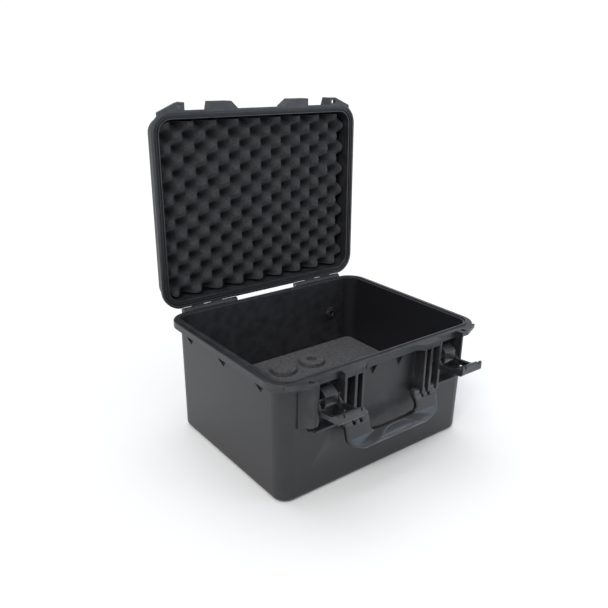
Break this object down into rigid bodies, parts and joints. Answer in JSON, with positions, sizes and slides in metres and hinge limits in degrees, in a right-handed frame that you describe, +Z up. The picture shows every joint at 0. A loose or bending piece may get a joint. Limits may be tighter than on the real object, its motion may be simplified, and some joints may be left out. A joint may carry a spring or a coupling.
{
  "type": "hard equipment case",
  "caption": "Deep hard-shell equipment case with a foam-lined lid on pinned hinges, over-centre front latches, a drop handle and padlock ears.",
  "frame": {"origin": "centre of the base's underside, on the plane that the case stands on", "axes": "+X to the right along the long side, -Y towards the latch and handle side, +Z up"},
  "size_m": [0.43, 0.4545, 0.5605],
  "materials": {
    "case_plastic": "fine matte texture",
    "latch_plastic": "satin",
    "foam": "open-cell foam",
    "seal_rubber": "matte",
    "steel_pin": "brushed",
    "valve_cloth": "membrane"
  },
  "bodies": {
    "base": {"base_shell": "case_plastic", "base_foam": "foam", "valve_body": "latch_plastic", "valve_seal": "seal_rubber", "valve_nut": "latch_plastic", "valve_membrane": "valve_cloth", "hinge_pin_left": "steel_pin", "hinge_pin_right": "steel_pin", "handle_pin_left": "steel_pin", "handle_pin_right": "steel_pin", "latch_pin_left": "steel_pin", "latch_pin_right": "steel_pin"},
    "lid": {"lid_shell": "case_plastic", "lid_seal": "seal_rubber", "lid_foam": "foam"},
    "handle": {"handle": "latch_plastic"},
    "lever_left": {"latch_lever_left": "latch_plastic", "hook_pin_left": "steel_pin"},
    "lever_right": {"latch_lever_right": "latch_plastic", "hook_pin_right": "steel_pin"},
    "hook_left": {"latch_hook_left": "latch_plastic"},
    "hook_right": {"latch_hook_right": "latch_plastic"},
    "plug_plain": {"foam_plug_plain": "foam"},
    "plug_ring": {"foam_plug_ring": "foam"}
  },
  "joints": [
    {"name": "lid_hinge", "type": "hinge", "parent": "base", "child": "lid", "pos_m": [0, 0.174, 0.2056], "axis": [1, 0, 0], "range_deg": [0, 91.36]},
    {"name": "handle_pivot", "type": "hinge", "parent": "base", "child": "handle", "pos_m": [0, -0.1705, 0.1225], "axis": [-1, 0, 0], "range_deg": [0, 90]},
    {"name": "lever_left_pivot", "type": "hinge", "parent": "base", "child": "lever_left", "pos_m": [0, -0.1686, 0.1655], "axis": [1, 0, 0], "range_deg": [0, 180]},
    {"name": "hook_left_pivot", "type": "hinge", "parent": "lever_left", "child": "hook_left", "pos_m": [0, -0.17014, 0.17025], "axis": [-1, 0, 0], "range_deg": [0, 270]},
    {"name": "lever_right_pivot", "type": "hinge", "parent": "base", "child": "lever_right", "pos_m": [0, -0.1686, 0.1655], "axis": [1, 0, 0], "range_deg": [0, 180]},
    {"name": "hook_right_pivot", "type": "hinge", "parent": "lever_right", "child": "hook_right", "pos_m": [0, -0.17014, 0.17025], "axis": [-1, 0, 0], "range_deg": [0, 270]},
    {"name": "plug_plain_slide", "type": "slide", "parent": "base", "child": "plug_plain", "axis": [0, 0, 1], "range_m": [0, 0.04]},
    {"name": "plug_ring_slide", "type": "slide", "parent": "base", "child": "plug_ring", "axis": [0, 0, 1], "range_m": [0, 0.04]}
  ],
  "couplings": [
    {"joint": "hook_left_pivot", "follows": "lever_left_pivot", "ratio": 1.5},
    {"joint": "hook_right_pivot", "follows": "lever_right_pivot", "ratio": 1.5}
  ]
}
